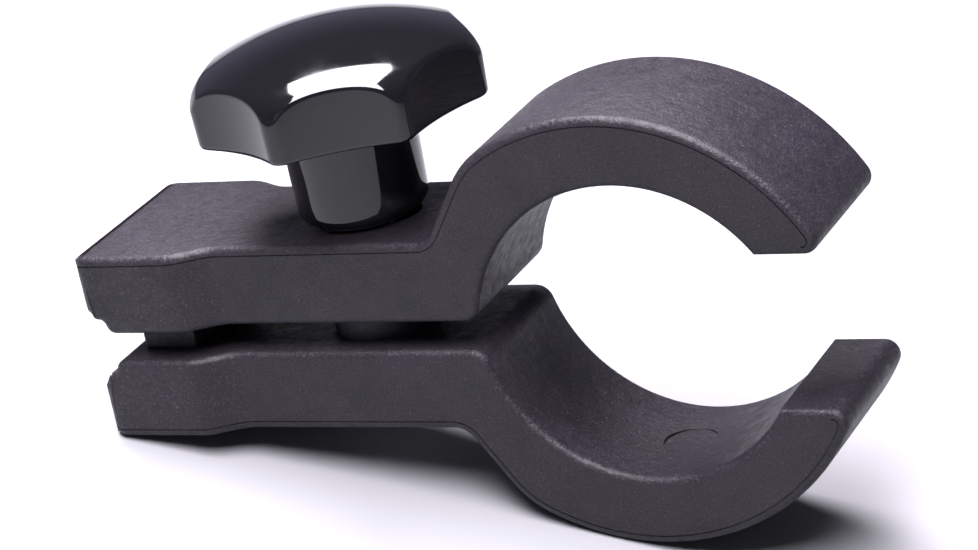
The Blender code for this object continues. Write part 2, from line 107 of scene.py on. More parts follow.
# Fulcrum, bolt, washer, insert and spring: as the frame has them, with a thread and finer edges
HINGE_X = -32.4
FULCRUM_LENGTH = 9.0
FULCRUM_WIDTH = 20.0
FULCRUM_LOW_TOP_Z = 0.2
FULCRUM_ROUNDING = 0.35
RIB_RADIUS = 2.5
RIB_SIDE_CLEARANCE = 0.4
ROOT_DEPTH = 1.0
BOLT_RADIUS = 4.0
BOLT_PITCH = 1.25
BOLT_END_Z = 38.2
BOLT_CHAMFER = 1.0
BOLT_END_ROOM = 1.2
BOLT_SIDE_ROOM = 0.6
THREAD_START_Z = -3.0
THREAD_DEPTH = 0.6
THREAD_STEEPNESS = 1.25
THREAD_CREST = 0.1
HEAD_ACROSS_FLATS = 13.0
HEAD_THICKNESS = 5.3
HEAD_RECESS = 0.5
HEAD_CHAMFER_INSET = 0.3
HEAD_CHAMFER_REACH = 1.2
HEAD_CHAMFER_HEIGHT = 0.7
BOLT_HOLE_RADIUS = 4.4
BOSS_RADIUS = 8.2
SPRING_RADIUS = 6.0
SPRING_WIRE = 1.4
SPRING_TURNS = 5
SPRING_SIDE_CLEARANCE = 0.4
LOWER_POCKET_DEPTH = 3.0
UPPER_POCKET_DEPTH = 6.5
WASHER_RADIUS = 8.0
WASHER_HOLE_RADIUS = 4.3
WASHER_THICKNESS = 1.6
WASHER_EDGE = 0.15
INSERT_RADIUS = 6.0
INSERT_BORE_RADIUS = 4.3
INSERT_LENGTH = 17.0
INSERT_RECESS = 0.1
INSERT_GROOVE_DEPTH = 0.8
INSERT_GROOVE_FLOOR = 1.6
INSERT_GROOVE_TOP = 2.4

# Knob
KNOB_LOBES = 7
KNOB_FIRST_LOBE = math.radians(-38.5)
LOBE_RADIUS = 22.0
LOBE_NOSE_RADIUS = 2.4
VALLEY_RADIUS = 19.1
HEAD_BOTTOM_Z = 30.6
DOME_RADIUS = 22.3
DOME_RIM_Z = 35.3
DOME_RIM_ROUNDING = 5.6
DOME_CAP_SLOPE = math.radians(24.0)
KNOB_EDGE_ROUNDING = 0.7
KNOB_FOOT_ROUNDING = 0.9
KNOB_DRAFT = 0.2
KNOB_EDGE_DRAFT = 0.02
KNOB_STEPS_PER_LOBE = 56
HUB_BOTTOM_RADIUS = 9.8
HUB_TOP_RADIUS = 10.1
HUB_ROOT_RADIUS = 1.0
HUB_RIM_ROUNDING = 2.2

# Camera, in the clamp's frame: off to the mouth's side and a little above
CAMERA_PLACE = Vector((247.6, -425.8, 185.75))
CAMERA_AZIMUTH = math.radians(28.35)
CAMERA_ELEVATION = math.radians(20.55)
CAMERA_ROLL = math.radians(11.77)
CAMERA_LENS = 130.4
CAMERA_SENSOR = 36.0

# Studio, in metres and watts
SUBJECT_M = (0.0, 0.0, 0.035)
FLOOR_RADIUS_M = 3.0
LAMP_TINT = (0.97, 0.92, 1.0)

SEAT_RADIUS = TUBE_DIAMETER / 2
INNER_Z = JAW_GAP / 2
OUTER_Z = INNER_Z + BODY_THICKNESS
HINGE_Z = INNER_Z - TOUCH_GAP
HEAD_TOP_Z = -OUTER_Z + HEAD_RECESS + HEAD_THICKNESS
WASHER_BOTTOM_Z = OUTER_Z + TOUCH_GAP
WASHER_TOP_Z = WASHER_BOTTOM_Z + WASHER_THICKNESS
HUB_BOTTOM_Z = WASHER_BOTTOM_Z + TOUCH_GAP
INSERT_BOTTOM_Z = WASHER_TOP_Z + TOUCH_GAP + INSERT_RECESS
POCKET_RADIUS = SPRING_RADIUS + SPRING_SIDE_CLEARANCE
SPRING_BOTTOM_Z = -INNER_Z - LOWER_POCKET_DEPTH + TOUCH_GAP
SPRING_TOP_Z = INNER_Z + UPPER_POCKET_DEPTH - TOUCH_GAP


def joint(name):
    return next(item for item in frame["joints"] if item["name"] == name)


KNOB_TURN = joint("knob_turn")
BOLT_AXIS = Vector(KNOB_TURN["axis"]).normalized()
CLAMP_ORIGIN = Vector(KNOB_TURN["pos_m"]) - BOLT_AXIS * HUB_BOTTOM_Z * MM
CLAMP_MATRIX = (Matrix.Translation(CLAMP_ORIGIN)
                @ Vector((0, 0, 1)).rotation_difference(BOLT_AXIS).to_matrix().to_4x4())
OPEN_ANGLE = math.radians(joint("jaw_open")["range_deg"][1])


# ---------------------------------------------------------------- outlines

def arc_points(centre, radius, start, end, steps):
    """Points on an arc, from the start angle to the end angle."""
    points = []
    for step in range(steps + 1):
        angle = start + (end - start) * step / steps
        points.append(Vector((centre[0] + radius * math.cos(angle),
                              centre[1] + radius * math.sin(angle))))
    return points


def circle_points(centre, radius, count):
    """Points spread evenly round a full circle."""
    return arc_points(centre, radius, 0, 2 * math.pi * (count - 1) / count, count - 1)


def hexagon_radius(across_flats):
    """Distance from a hexagon's middle to its corners."""
    return across_flats / 2 / math.cos(math.pi / 6)


def arc_between(centre, start_point, end_point, steps):
    """Points on the shorter arc about centre, from one of its points to another."""
    first = Vector(start_point) - Vector(centre)
    last = Vector(end_point) - Vector(centre)
    start = math.atan2(first.y, first.x)
    sweep = (math.atan2(last.y, last.x) - start + math.pi) % (2 * math.pi) - math.pi
    return arc_points(centre, first.length, start, start + sweep, steps)


def rounded_corner(before, corner, after, radius, steps=CORNER_STEPS):
    """The arc of this radius that rounds the corner between two straight sides."""
    corner = Vector(corner)
    back = (Vector(before) - corner).normalized()
    ahead = (Vector(after) - corner).normalized()
    half_angle = back.angle(ahead) / 2
    centre = corner + (back + ahead).normalized() * radius / math.sin(half_angle)
    reach = radius / math.tan(half_angle)
    return arc_between(centre, corner + back * reach, corner + ahead * reach, steps)


def blend_circle(point, direction, normal, radius, centre, centre_distance, far_root):
    """Centre of the blend that touches a line and keeps a distance from a circle's centre."""
    direction = Vector(direction).normalized()
    start = Vector(point) + Vector(normal).normalized() * radius - Vector(centre)
    middle = -start.dot(direction)
    spread = math.sqrt(middle ** 2 - start.length_squared + centre_distance ** 2)
    along = middle + spread if far_root else middle - spread
    return start + direction * along + Vector(centre)


def on_circle(centre, radius, towards):
    """The point of a circle that lies in line with another point."""
    return Vector(centre) + (Vector(towards) - Vector(centre)).normalized() * radius


def jaw_profile():
    """Side outline of the upper jaw, x and z, and the part of it that is the outer side."""
    seat = Vector((SEAT_X, -SEAT_DROP))
    outer = Vector((ARM_OUTER_X, -ARM_OUTER_DROP))

    throat = blend_circle((0, INNER_Z), (1, 0), (0, 1), THROAT_RADIUS,
                          seat, SEAT_RADIUS + THROAT_RADIUS, False)
    throat_start = Vector((throat.x, INNER_Z))
    throat_end = on_circle(seat, SEAT_RADIUS, throat)
    landing_rise = TIP_HEIGHT + SEAT_DROP
    landing_start = Vector((SEAT_X + math.sqrt(SEAT_RADIUS ** 2 - landing_rise ** 2), TIP_HEIGHT))

    tip = blend_circle((SEAT_X, TIP_HEIGHT), (1, 0), (0, 1), TIP_RADIUS,
                       outer, ARM_OUTER_RADIUS - TIP_RADIUS, True)
    tip_start = Vector((tip.x, TIP_HEIGHT))
    tip_end = on_circle(outer, ARM_OUTER_RADIUS, outer + (tip - outer) * 2)

    foot = Vector((RAMP_FOOT_X, OUTER_Z))
    up_ramp = Vector((math.cos(RAMP_ANGLE), math.sin(RAMP_ANGLE)))
    into_ramp = Vector((up_ramp.y, -up_ramp.x))
    crest = blend_circle(foot, up_ramp, into_ramp, RAMP_CREST_RADIUS,
                         outer, ARM_OUTER_RADIUS - RAMP_CREST_RADIUS, True)
    crest_start = outer + (crest - outer).normalized() * ARM_OUTER_RADIUS
    crest_end = crest - into_ramp * RAMP_CREST_RADIUS

    step_corner = Vector((TAIL_STEP_X, INNER_Z))
    ledge_end = Vector((TAIL_LEDGE_END_X, TAIL_LEDGE_HEIGHT))
    ledge_start = Vector((TAIL_LEDGE_START_X, TAIL_LEDGE_HEIGHT))
    tail_bevel = Vector((TAIL_X, TAIL_BEVEL_HEIGHT))
    tail_top = Vector((TAIL_X, OUTER_Z))

    inner_side = arc_between(throat, throat_start, throat_end, CORNER_STEPS)
    inner_side += arc_between(seat, throat_end, landing_start, SEAT_STEPS)[1:]
    outer_side = arc_between(tip, tip_start, tip_end, TIP_STEPS)
    outer_side += arc_between(outer, tip_end, crest_start, ARM_STEPS)[1:-1]
    outer_side += arc_between(crest, crest_start, crest_end, CORNER_STEPS)
    outer_side += rounded_corner(crest_end, foot, tail_top, RAMP_FOOT_RADIUS)
    outer_side += rounded_corner(foot, tail_top, tail_bevel, TAIL_TOP_RADIUS)
    tail_side = rounded_corner(tail_top, tail_bevel, ledge_start, TAIL_BEVEL_RADIUS)
    tail_side += [ledge_start, ledge_end, step_corner]
    return inner_side + outer_side + tail_side, outer_side


def jaw_plan(inset=0.0):
    """Plan outline shared by both jaws, x and y: wide tail, S-shaped waist, narrow arm."""
    half_tail = TAIL_WIDTH / 2 - inset
    half_jaw = JAW_WIDTH / 2 - inset
    tail_x = TAIL_X + inset
    waist = []
    for step in range(WAIST_STEPS + 1):
        share = step / WAIST_STEPS
        ease = (1 - math.cos(math.pi * share)) / 2
        waist.append(Vector((WAIST_START_X + (WAIST_END_X - WAIST_START_X) * share,
                             half_tail + (half_jaw - half_tail) * ease)))
    mouth_x = ARM_OUTER_X + ARM_OUTER_RADIUS + OVERSHOOT
    corner = Vector((tail_x, half_tail))
    upper_side = rounded_corner((tail_x, 0), corner, waist[0], TAIL_CORNER_RADIUS, TIP_STEPS)
    upper_side += waist + [Vector((mouth_x, half_jaw))]
    lower_side = [Vector((point.x, -point.y)) for point in reversed(upper_side)]
    return upper_side + lower_side


def fulcrum_profile():
    """Side outline of the pad and its half-round rib, rooted in the lower jaw."""
    pad_start = HINGE_X - FULCRUM_LENGTH / 2
    pad_end = HINGE_X + FULCRUM_LENGTH / 2
    root_z = -INNER_Z - ROOT_DEPTH
    outline = [Vector((pad_start, root_z)), Vector((pad_end, root_z)), Vector((pad_end, HINGE_Z))]
    outline += arc_points((HINGE_X, HINGE_Z), RIB_RADIUS, 0, math.pi, RIB_STEPS)
    outline += [Vector((HINGE_X - RIB_RADIUS, FULCRUM_LOW_TOP_Z)),
                Vector((pad_start, FULCRUM_LOW_TOP_Z))]
    return outline


# ---------------------------------------------------------------- mesh helpers

def new_object(name, shape):
    """A mesh object made from a bmesh, which is freed."""
    mesh = bpy.data.meshes.new(name)
    shape.to_mesh(mesh)
    shape.free()
    thing = bpy.data.objects.new(name, mesh)
    bpy.context.scene.collection.objects.link(thing)
    return thing


def new_solid(name, shape):
    """As new_object, for a closed shape, whose faces are turned outward first."""
    bmesh.ops.recalc_face_normals(shape, faces=shape.faces)
    return new_object(name, shape)


def prism(name, outline, low, high, upright=False):
    """An outline with thickness: in XY between two heights, or upright in XZ between two y."""
    shape = bmesh.new()
    rings = []
    for level in (low, high):
        if upright:
            rings.append([shape.verts.new((point[0], level, point[1])) for point in outline])
        else:
            rings.append([shape.verts.new((point[0], point[1], level)) for point in outline])
    shape.faces.new(rings[0])
    shape.faces.new(list(reversed(rings[1])))
    count = len(outline)
    for index in range(count):
        after = (index + 1) % count
        shape.faces.new((rings[0][after], rings[0][index], rings[1][index], rings[1][after]))
    return new_solid(name, shape)


def turned(name, profile):
    """A profile of radius and height turned about the bolt's axis."""
    shape = bmesh.new()
    rings = []
    for radius, height in profile:
        if radius == 0:
            rings.append([shape.verts.new((0, 0, height))])
            continue
        rings.append([shape.verts.new((point.x, point.y, height))
                      for point in circle_points((0, 0), radius, ROUND_SIDES)])
    hollow = profile[0][0] > 0
    if hollow:
        rings.append(rings[0])
    skin(shape, rings)
    return new_solid(name, shape)


def join_rings(shape, ring, after):
    """Faces between two closed rings of points, either of which may be a single point."""
    count = max(len(ring), len(after))
    for step in range(count):
        turn = (step + 1) % count
        if len(ring) == 1:
            shape.faces.new((ring[0], after[step], after[turn]))
        elif len(after) == 1:
            shape.faces.new((ring[step], after[0], ring[turn]))
        else:
            shape.faces.new((ring[step], after[step], after[turn], ring[turn]))


def skin(shape, rings):
    """Faces over a whole stack of rings, from each one to the next."""
    for ring, after in zip(rings, rings[1:]):
        join_rings(shape, ring, after)


def cylinder(name, radius, low, high, sides=ROUND_SIDES):
    return prism(name, circle_points((0, 0), radius, sides), low, high)


def oblong_hole(name, radius, run, low, high):
    """Cutter for a slot along X: round about the bolt's axis at one end."""
    outline = arc_points((0, 0), radius, math.pi / 2, 3 * math.pi / 2, HOLE_STEPS)
    outline += arc_points((run, 0), radius, -math.pi / 2, math.pi / 2, HOLE_STEPS)
    return prism(name, outline, low, high)


def apply_modifiers(thing):
    """Replace an object's mesh by what its modifiers make of it."""
    depsgraph = bpy.context.evaluated_depsgraph_get()
    mesh = bpy.data.meshes.new_from_object(thing.evaluated_get(depsgraph))
    thing.modifiers.clear()
    thing.data = mesh


def combine(target, tool, operation="DIFFERENCE"):
    """Cut or join two solids for good; the tool is removed."""
    boolean = target.modifiers.new("combine", "BOOLEAN")
    boolean.operation = operation
    boolean.solver = "EXACT"
    boolean.object = tool
    apply_modifiers(target)
    bpy.data.objects.remove(tool, do_unlink=True)


def round_edges(thing, width, segments):
    """Round off the edges that are sharp enough."""
    rounding = thing.modifiers.new("rounding", "BEVEL")
    rounding.width = width
    rounding.segments = segments
    rounding.limit_method = "ANGLE"
    rounding.angle_limit = SOFTENED_ANGLE
    rounding.use_clamp_overlap = False
    apply_modifiers(thing)


def place(thing, body, slot, material, *nodes):
    """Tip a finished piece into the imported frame, shade it, and hang it on its body."""
    thing.data.transform(CLAMP_MATRIX @ Matrix.Scale(MM, 4))
    thing.data.shade_smooth()
    thing.data.set_sharp_from_angle(angle=SHARP_SHADED_ANGLE)
    thing.data.materials.clear()
    thing.data.materials.append(material)
    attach(thing, body)
    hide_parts(*nodes)


# ---------------------------------------------------------------- jaws

def parting_groove(side, outer_side):
    """Cutter for the fine mould line that runs just inside the outer rim of both side faces."""
    band = []
    for inset in (GROOVE_INSET, GROOVE_INSET + GROOVE_WIDTH):
        row = []
        for index, point in enumerate(outer_side):
            before = outer_side[max(index - 1, 0)]
            after = outer_side[min(index + 1, len(outer_side) - 1)]
            along = (after - before).normalized()
            row.append(point + Vector((-along.y, along.x)) * inset)
        band.append(row)
    outline = [Vector((point.x, side * point.y)) for point in band[0] + band[1][::-1]]
    cutter = prism("groove", outline, -TAIL_WIDTH, TAIL_WIDTH, upright=True)
    combine(cutter, prism("groove_floor", jaw_plan(GROOVE_DEPTH), -CUTTER_REACH, CUTTER_REACH))
    return cutter


def jaw_blank(name, side):
    """Jaw without its holes: side 1 is the upper jaw, and -1 is the lower one upside down."""
    outline, outer_side = jaw_profile()
    profile = [Vector((point.x, side * point.y)) for point in outline]
    half_width = TAIL_WIDTH / 2 + OVERSHOOT
    jaw = prism(name, profile, -half_width, half_width, upright=True)
    combine(jaw, prism("plan", jaw_plan(), -CUTTER_REACH, CUTTER_REACH), "INTERSECT")
    round_edges(jaw, RIM_ROUNDING, segments=5)
    combine(jaw, parting_groove(side, outer_side))
    return jaw


def ejector_mark():
    """Cutter for the flat round mark that an ejector pin leaves at the seat's lowest point."""
    floor = SEAT_DROP - SEAT_RADIUS
    pin = cylinder("ejector_pin", EJECTOR_RADIUS, floor - EJECTOR_DEPTH, floor + OVERSHOOT)
    pin.data.transform(Matrix.Translation((SEAT_X, 0, 0)))
    return pin


def make_upper_jaw(material):
    jaw = jaw_blank("upper_jaw_moulding", 1)
    swing_back = abs(HINGE_X) * (1 - math.cos(OPEN_ANGLE))
    slot_run = (OUTER_Z - HINGE_Z) * math.sin(OPEN_ANGLE) + swing_back
    ceiling = INNER_Z + UPPER_POCKET_DEPTH
    pocket_run = (ceiling - HINGE_Z) * math.sin(OPEN_ANGLE) + swing_back
    combine(jaw, oblong_hole("slot", BOLT_HOLE_RADIUS, slot_run, 0.0, OUTER_Z + OVERSHOOT))
    combine(jaw, oblong_hole("pocket", POCKET_RADIUS, pocket_run, 0.0, ceiling))
    half_socket = FULCRUM_WIDTH / 2 + RIB_SIDE_CLEARANCE
    socket = circle_points((HINGE_X, HINGE_Z), RIB_RADIUS + TOUCH_GAP, SOCKET_SIDES)
    combine(jaw, prism("socket", socket, -half_socket, half_socket, upright=True))
    place(jaw, "upper_arm", "jaw_nylon", material, "upper_jaw")


def make_lower_jaw(material):
    jaw = jaw_blank("lower_jaw_moulding", -1)
    half_pad = FULCRUM_WIDTH / 2
    fulcrum = prism("fulcrum", fulcrum_profile(), -half_pad, half_pad, upright=True)
    round_edges(fulcrum, FULCRUM_ROUNDING, segments=3)
    combine(jaw, fulcrum, "UNION")
    combine(jaw, cylinder("boss", BOSS_RADIUS, -INNER_Z - ROOT_DEPTH, INNER_Z - TOUCH_GAP), "UNION")
    combine(jaw, cylinder("pocket", POCKET_RADIUS, -INNER_Z - LOWER_POCKET_DEPTH, INNER_Z + OVERSHOOT))
    below = -OUTER_Z - OVERSHOOT
    combine(jaw, cylinder("hole", BOLT_HOLE_RADIUS, below, 0.0))
    pocket_corner = hexagon_radius(HEAD_ACROSS_FLATS + 2 * TOUCH_GAP)
    pocket_top = HEAD_TOP_Z + TOUCH_GAP
    combine(jaw, cylinder("head_pocket", pocket_corner, below, pocket_top, HEXAGON_SIDES))
    combine(jaw, ejector_mark())
    place(jaw, "lower_arm", "jaw_nylon", material, "lower_jaw")


# ---------------------------------------------------------------- hardware

def thread_cut(height, turn):
    """Depth of the thread at a height and a share of a turn, with flat crests and roots."""
    flank = abs(2 * ((height / BOLT_PITCH - turn) % 1.0) - 1)
    return THREAD_DEPTH * min(1.0, max(0.0, THREAD_STEEPNESS * flank - THREAD_CREST))


def make_shank(material):
    """Plain shank below a helical thread with a chamfered end."""
    per_turn = 36
    rows_per_turn = 4
    root_z = HEAD_TOP_Z - OVERSHOOT
    threaded = BOLT_END_Z - THREAD_START_Z
    rows = int(threaded / BOLT_PITCH * rows_per_turn)
    levels = [(root_z, False), (THREAD_START_Z, False)]
    levels += [(THREAD_START_Z + threaded * (row + 1) / rows, True) for row in range(rows)]
    shape = bmesh.new()
    rings = [[shape.verts.new((0, 0, root_z))]]
    for height, has_thread in levels:
        chamfer_cut = max(0.0, BOLT_CHAMFER - (BOLT_END_Z - height))
        ring = []
        for step in range(per_turn):
            turn = step / per_turn
            cut = max(chamfer_cut, thread_cut(height, turn) if has_thread else 0.0)
            radius = BOLT_RADIUS - cut
            angle = 2 * math.pi * turn
            ring.append(shape.verts.new((radius * math.cos(angle), radius * math.sin(angle), height)))
        rings.append(ring)
    rings.append([shape.verts.new((0, 0, BOLT_END_Z))])
    skin(shape, rings)
    place(new_solid("bolt_m8", shape), "lower_arm", "zinc_steel", material, "clamp_bolt")


def make_bolt_head(material):
    """Hexagon head, chamfered all round its outer face."""
    bottom = HEAD_TOP_Z - HEAD_THICKNESS
    corner = hexagon_radius(HEAD_ACROSS_FLATS)
    head = cylinder("bolt_head", corner, bottom, HEAD_TOP_Z, HEXAGON_SIDES)
    flat = HEAD_ACROSS_FLATS / 2
    wide = flat + HEAD_CHAMFER_REACH
    cone = turned("chamfer", [(0, HEAD_TOP_Z + OVERSHOOT), (wide, HEAD_TOP_Z + OVERSHOOT),
                              (wide, bottom + HEAD_CHAMFER_HEIGHT),
                              (flat - HEAD_CHAMFER_INSET, bottom), (0, bottom)])
    combine(head, cone, "INTERSECT")
    place(head, "lower_arm", "zinc_steel", material, "clamp_bolt")


def make_washer(material):
    face_radius = WASHER_RADIUS - WASHER_EDGE
    profile = [(face_radius, WASHER_TOP_Z), (WASHER_RADIUS, WASHER_TOP_Z - WASHER_EDGE),
               (WASHER_RADIUS, WASHER_BOTTOM_Z + WASHER_EDGE), (face_radius, WASHER_BOTTOM_Z),
               (WASHER_HOLE_RADIUS, WASHER_BOTTOM_Z), (WASHER_HOLE_RADIUS, WASHER_TOP_Z)]
    place(turned("washer_m8", profile), "knob_carriage", "zinc_steel", material, "thrust_washer")


def make_insert(material):
    top = INSERT_BOTTOM_Z + INSERT_LENGTH
    middle = (top + INSERT_BOTTOM_Z) / 2
    groove_radius = INSERT_RADIUS - INSERT_GROOVE_DEPTH
    half_top = INSERT_GROOVE_TOP / 2
    half_floor = INSERT_GROOVE_FLOOR / 2
    profile = [(INSERT_RADIUS, top), (INSERT_RADIUS, middle + half_top),
               (groove_radius, middle + half_floor), (groove_radius, middle - half_floor),
               (INSERT_RADIUS, middle - half_top), (INSERT_RADIUS, INSERT_BOTTOM_Z),
               (INSERT_BORE_RADIUS, INSERT_BOTTOM_Z), (INSERT_BORE_RADIUS, top)]
    place(turned("insert_brass", profile), "knob", "brass", material, "knob_insert")


def make_spring(material):
    """Round-wire compression spring as a tube swept along its coil."""
    coil_radius = SPRING_RADIUS - SPRING_WIRE / 2
    first = SPRING_BOTTOM_Z + SPRING_WIRE / 2
    last = SPRING_TOP_Z - SPRING_WIRE / 2
    per_turn = 40
    count = SPRING_TURNS * per_turn
    sides = 14
    shape = bmesh.new()
    rings = []
    for index in range(count + 1):
        angle = 2 * math.pi * index / per_turn
        height = first + (last - first) * index / count
        outward = Vector((math.cos(angle), math.sin(angle), 0))
        centre = outward * coil_radius + Vector((0, 0, height))
        ring = []
        for side in range(sides):
            turn = 2 * math.pi * side / sides
            offset = outward * math.cos(turn) + Vector((0, 0, math.sin(turn)))
            ring.append(shape.verts.new(centre + offset * SPRING_WIRE / 2))
        rings.append(ring)
    skin(shape, rings)
    shape.faces.new(rings[0])
    shape.faces.new(rings[-1])
    place(new_solid("spring_coil", shape), "lower_arm", "spring_steel", material, "return_spring")


# ---------------------------------------------------------------- knob

def knob_radius(angle):
    """Radius of the knob's star outline: round-nosed lobes joined by shallow hollow arcs."""
    half_pitch = math.pi / KNOB_LOBES
    nose_x = LOBE_RADIUS - LOBE_NOSE_RADIUS
    across = nose_x * math.cos(half_pitch)
    spread = (LOBE_NOSE_RADIUS ** 2 - nose_x ** 2 - VALLEY_RADIUS ** 2
              + 2 * across * VALLEY_RADIUS)
    hollow_radius = spread / (2 * (VALLEY_RADIUS - across - LOBE_NOSE_RADIUS))
    hollow_x = VALLEY_RADIUS + hollow_radius
    seam_x = nose_x * hollow_radius + hollow_x * math.cos(half_pitch) * LOBE_NOSE_RADIUS
    seam_y = hollow_x * math.sin(half_pitch) * LOBE_NOSE_RADIUS

    from_lobe = abs((angle - KNOB_FIRST_LOBE + half_pitch) % (2 * half_pitch) - half_pitch)
    if from_lobe < math.atan2(seam_y, seam_x):
        offset = nose_x * math.sin(from_lobe)
        return nose_x * math.cos(from_lobe) + math.sqrt(LOBE_NOSE_RADIUS ** 2 - offset ** 2)
    from_hollow = half_pitch - from_lobe
    offset = hollow_x * math.sin(from_hollow)
    return hollow_x * math.cos(from_hollow) - math.sqrt(hollow_radius ** 2 - offset ** 2)


def dome_height(radius):
    """Height of the knob's turned dome: a shallow cap that runs into a well rounded rim."""
    rim_x = DOME_RADIUS - DOME_RIM_ROUNDING
    seam_x = rim_x + DOME_RIM_ROUNDING * math.sin(DOME_CAP_SLOPE)
    if radius > seam_x:
        return DOME_RIM_Z + math.sqrt(DOME_RIM_ROUNDING ** 2 - (radius - rim_x) ** 2)
    seam_z = DOME_RIM_Z + DOME_RIM_ROUNDING * math.cos(DOME_CAP_SLOPE)
    cap_radius = seam_x / math.sin(DOME_CAP_SLOPE)
    drop = cap_radius * math.cos(DOME_CAP_SLOPE)
    return seam_z - drop + math.sqrt(cap_radius ** 2 - radius ** 2)


def head_section(wall):
    """Radius and height down the knob's head at one angle, from the dome to its underside."""
    dome_steps = 30
    round_steps = 6
    edge = KNOB_EDGE_ROUNDING
    foot = KNOB_FOOT_ROUNDING
    points = []
    for step in range(1, dome_steps + 1):
        radius = (wall - edge) * math.sin(math.pi / 2 * step / dome_steps)
        points.append(Vector((radius, dome_height(radius))))
    start = points[-1]
    corner = Vector((wall, dome_height(wall)))
    end = corner - Vector((KNOB_EDGE_DRAFT, edge))
    for step in range(1, round_steps + 1):
        share = step / round_steps
        points.append(start * (1 - share) ** 2 + corner * 2 * share * (1 - share)
                      + end * share ** 2)
    foot_centre = (wall - KNOB_DRAFT - foot, HEAD_BOTTOM_Z + foot)
    points += arc_points(foot_centre, foot, 0, -math.pi / 2, round_steps)
    return points


def hub_section():
    """Radius and height from the head's underside down the hub and up its inside."""
    root = Vector((HUB_TOP_RADIUS, HEAD_BOTTOM_Z))
    rim_centre = (HUB_BOTTOM_RADIUS - HUB_RIM_ROUNDING, HUB_BOTTOM_Z + HUB_RIM_ROUNDING)
    counterbore = WASHER_RADIUS + TOUCH_GAP
    rim_end = -math.acos((counterbore - rim_centre[0]) / HUB_RIM_ROUNDING)
    seat = INSERT_RADIUS + TOUCH_GAP
    seat_top = INSERT_BOTTOM_Z + INSERT_LENGTH + TOUCH_GAP
    bore = BOLT_RADIUS + BOLT_SIDE_ROOM
    root_centre = root + Vector((HUB_ROOT_RADIUS, -HUB_ROOT_RADIUS))
    points = arc_points(root_centre, HUB_ROOT_RADIUS, math.pi / 2, math.pi, 6)
    points += arc_points(rim_centre, HUB_RIM_ROUNDING, 0, rim_end, CORNER_STEPS)
    points += [Vector((counterbore, WASHER_TOP_Z + TOUCH_GAP)),
               Vector((seat, WASHER_TOP_Z + TOUCH_GAP)),
               Vector((seat, seat_top)),
               Vector((bore, seat_top)),
               Vector((bore, BOLT_END_Z + BOLT_END_ROOM))]
    return points


def make_knob(material):
    """Rings from the dome's middle over its edge, down the star wall and the hub, and inside."""
    steps = KNOB_STEPS_PER_LOBE * KNOB_LOBES
    angles = [KNOB_FIRST_LOBE + 2 * math.pi * step / steps for step in range(steps)]
    hub = hub_section()
    columns = [head_section(knob_radius(angle)) + hub for angle in angles]
    shape = bmesh.new()
    rings = [[shape.verts.new((0, 0, dome_height(0)))]]
    for row in range(len(columns[0])):
        rings.append([shape.verts.new((column[row].x * math.cos(angle),
                                       column[row].x * math.sin(angle), column[row].y))
                      for column, angle in zip(columns, angles)])
    rings.append([shape.verts.new((0, 0, BOLT_END_Z + BOLT_END_ROOM))])
    skin(shape, rings)
    place(new_solid("knob_moulding", shape), "knob", "knob_phenolic", material, "knob_body")


# ---------------------------------------------------------------- materials

def new_material(name, colour, roughness, metallic=0.0):
    """A material and its shader; a texture linked later takes the place of a plain value."""
    material = bpy.data.materials.new(name)
    material.use_nodes = True
    shader = material.node_tree.nodes["Principled BSDF"]
    shader.inputs["Base Color"].default_value = (*colour, 1.0)
    shader.inputs["Roughness"].default_value = roughness
    shader.inputs["Metallic"].default_value = metallic
    return material, shader


def noise_texture(tree, size_mm, detail, roughness):
    """A noise field in the object's own space; size_mm is the width of its blobs."""
    place_node = tree.nodes.new("ShaderNodeTexCoord")
    field = tree.nodes.new("ShaderNodeTexNoise")
    field.inputs["Scale"].default_value = 1.0 / (size_mm * MM)
    field.inputs["Detail"].default_value = detail
    field.inputs["Roughness"].default_value = roughness
    tree.links.new(place_node.outputs["Object"], field.inputs["Vector"])
    return field.outputs["Fac"]


def ramp(tree, source, stops):
    """A colour ramp over a field; stops are (position, colour)."""
    node = tree.nodes.new("ShaderNodeValToRGB")
    elements = node.color_ramp.elements
    while len(elements) < len(stops):
        elements.new(0.5)
    for element, (position, colour) in zip(elements, stops):
        element.position = position
        element.color = (*colour, 1.0)
    tree.links.new(source, node.inputs["Fac"])
    return node.outputs["Color"]


def remap(tree, source, from_range, to_range):
    """A field stretched from one range of values to another."""
    node = tree.nodes.new("ShaderNodeMapRange")
    node.inputs["From Min"].default_value = from_range[0]
    node.inputs["From Max"].default_value = from_range[1]
    node.inputs["To Min"].default_value = to_range[0]
    node.inputs["To Max"].default_value = to_range[1]
    tree.links.new(source, node.inputs["Value"])
    return node.outputs["Result"]


def add_bump(tree, shader, fields):
    """Stack bumps on a shader; fields are (field, height in mm, strength)."""
    normal = None
    for field, height, strength in fields:
        bump = tree.nodes.new("ShaderNodeBump")
        bump.inputs["Strength"].default_value = strength
        bump.inputs["Distance"].default_value = height * MM
        tree.links.new(field, bump.inputs["Height"])
        if normal is not None:
            tree.links.new(normal, bump.inputs["Normal"])
        normal = bump.outputs["Normal"]
    tree.links.new(normal, shader.inputs["Normal"])


